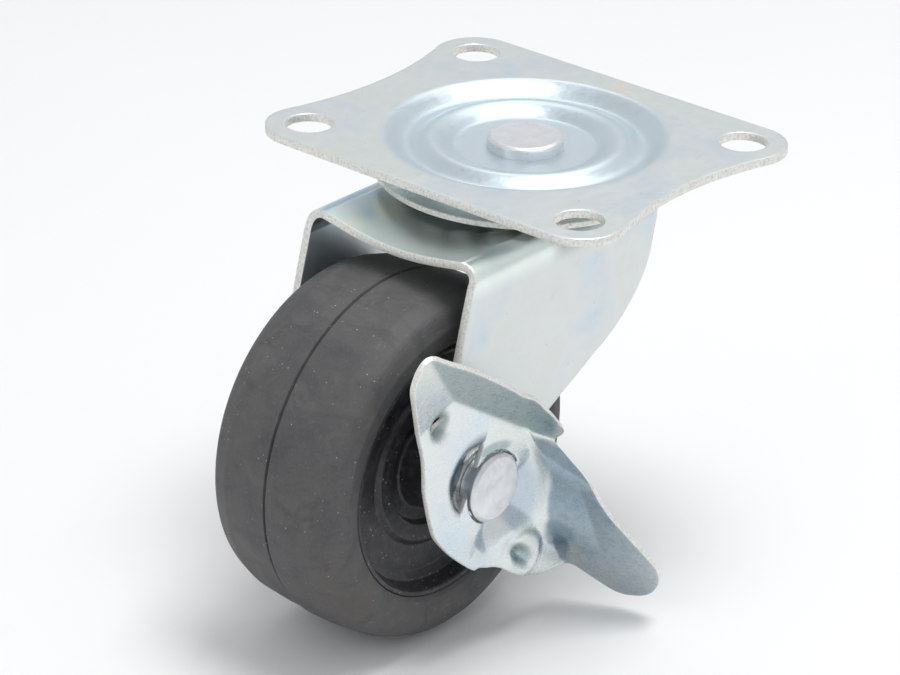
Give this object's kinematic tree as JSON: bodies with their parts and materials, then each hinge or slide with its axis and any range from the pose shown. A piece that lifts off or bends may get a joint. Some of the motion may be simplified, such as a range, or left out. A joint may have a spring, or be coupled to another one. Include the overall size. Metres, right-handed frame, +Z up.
{
  "type": "swivel castor wheel",
  "caption": "Plate-mounted swivel castor: pressed plate, ball-race swivel, stamped fork, solid black tyre and a side brake lever on the axle rivet.",
  "frame": {"origin": "centre of the four fixing holes on the plate's top face", "axes": "+Z up out of the plate's top face along the swivel axis; the wheel trails toward -X at rest; the brake lever is on the -Y side"},
  "size_m": [0.0755, 0.0599, 0.062],
  "materials": {
    "zinc_plate": "bright zinc plating, slightly mottled",
    "rivet_steel": "tumbled zinc plating, matt",
    "ball_steel": "polished",
    "black_plastic": "moulded, semi-gloss",
    "black_rubber": "matt with a satin sheen"
  },
  "bodies": {
    "plate": {"top_plate": "zinc_plate", "kingpin": "rivet_steel", "dust_cap": "zinc_plate", "lower_race": "zinc_plate"},
    "upper_ring": {"upper_balls": "ball_steel"},
    "lower_ring": {"lower_balls": "ball_steel"},
    "fork": {"fork": "zinc_plate", "axle_rivet": "rivet_steel"},
    "wheel": {"wheel_core": "black_plastic", "tyre": "black_rubber"},
    "brake": {"brake_lever": "zinc_plate"}
  },
  "joints": [
    {"name": "swivel", "type": "hinge", "parent": "plate", "child": "fork", "pos_m": [0, 0, -0.0063], "axis": [0, 0, 1], "continuous": true},
    {"name": "upper_ring_roll", "type": "hinge", "parent": "plate", "child": "upper_ring", "pos_m": [0, 0, -0.0041], "axis": [0, 0, 1], "continuous": true},
    {"name": "lower_ring_roll", "type": "hinge", "parent": "plate", "child": "lower_ring", "pos_m": [0, 0, -0.0093], "axis": [0, 0, 1], "continuous": true},
    {"name": "wheel_spin", "type": "hinge", "parent": "fork", "child": "wheel", "pos_m": [-0.027, 0, -0.037], "axis": [0, 1, 0], "continuous": true},
    {"name": "brake_pivot", "type": "hinge", "parent": "fork", "child": "brake", "pos_m": [-0.027, 0, -0.037], "axis": [0, -1, 0], "range_deg": [0, 38]}
  ],
  "couplings": [
    {"joint": "upper_ring_roll", "follows": "swivel", "ratio": 0.5},
    {"joint": "lower_ring_roll", "follows": "swivel", "ratio": 0.5}
  ]
}
